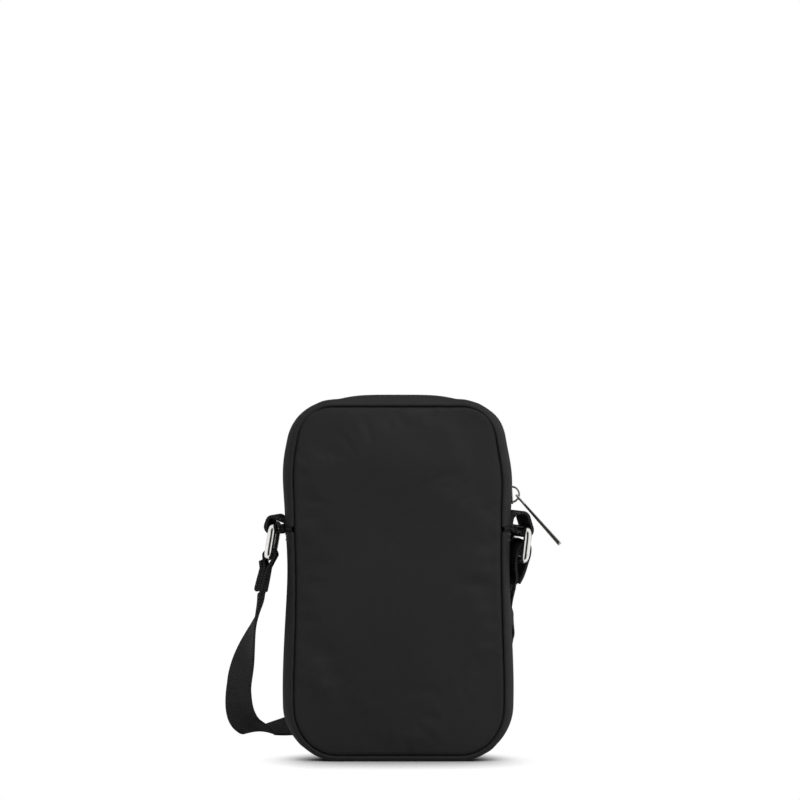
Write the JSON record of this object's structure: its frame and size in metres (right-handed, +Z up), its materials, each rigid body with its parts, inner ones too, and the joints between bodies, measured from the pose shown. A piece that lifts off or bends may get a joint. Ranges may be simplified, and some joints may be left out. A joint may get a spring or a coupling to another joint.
{
  "type": "phone pouch",
  "caption": "Flat padded crossbody pouch for a phone, with a zip over its upper edge, side rings and a carrying strap.",
  "frame": {"origin": "middle of the underside that the pouch stands on", "axes": "+Z up, +X to the right seen from the pictured face, +Y away from that face"},
  "size_m": [0.1684, 0.1079, 0.1806],
  "materials": {
    "nylon": "black woven nylon, matt",
    "foam": "soft foam sheet",
    "lining": "black plain-weave polyester, slightly glossy",
    "binding": "black woven binding tape",
    "zip_tape": "black knitted zip tape",
    "zip_coil": "black nylon coil",
    "thread": "black polyester thread",
    "webbing": "black woven webbing with a slight sheen",
    "polished_metal": "polished, nickel plated"
  },
  "bodies": {
    "pouch": {"front_panel": "nylon", "back_panel": "nylon", "front_foam": "foam", "back_foam": "foam", "front_lining": "lining", "back_lining": "lining", "lower_gusset": "nylon", "gusset_lining": "lining", "front_binding": "binding", "back_binding": "binding", "side_seam_tapes": "binding", "zip_strip_front": "nylon", "zip_strip_back": "nylon", "zip_tape_front": "zip_tape", "zip_tape_back": "zip_tape", "zip_coil_front": "zip_coil", "zip_coil_back": "zip_coil", "zip_end_stops": "polished_metal", "tab_left": "webbing", "tab_right": "webbing", "side_stitches": "thread", "strap_drop_left": "webbing", "strap_coil": "webbing", "strap_rise_right": "webbing", "strap_return_right": "webbing", "strap_adjuster": "polished_metal"},
    "zip_slider": {"zip_slider_body": "polished_metal", "zip_slider_bridge": "polished_metal", "zip_lock_spring": "polished_metal"},
    "puller": {"zip_puller": "polished_metal"},
    "left_ring": {"ring_left": "polished_metal", "strap_fold_left": "webbing"},
    "right_ring": {"ring_right": "polished_metal", "strap_fold_right": "webbing"}
  },
  "joints": [
    {"name": "zip_slide", "type": "slide", "parent": "pouch", "child": "zip_slider", "axis": [-0.0722, 0, 0.9974], "range_m": [0, 0.022]},
    {"name": "puller_swing", "type": "hinge", "parent": "zip_slider", "child": "puller", "pos_m": [0.05882, 0, 0.12971], "axis": [0, -1, 0], "range_deg": [0, 130]},
    {"name": "ring_left_swing", "type": "hinge", "parent": "pouch", "child": "left_ring", "pos_m": [-0.0609, 0, 0.1146], "axis": [0, 1, 0], "range_deg": [-8, 150], "deforming": ["strap_drop_left"]},
    {"name": "ring_right_swing", "type": "hinge", "parent": "pouch", "child": "right_ring", "pos_m": [0.0624, 0, 0.1129], "axis": [0, -1, 0], "range_deg": [0, 55], "deforming": ["strap_rise_right", "strap_return_right"]}
  ]
}
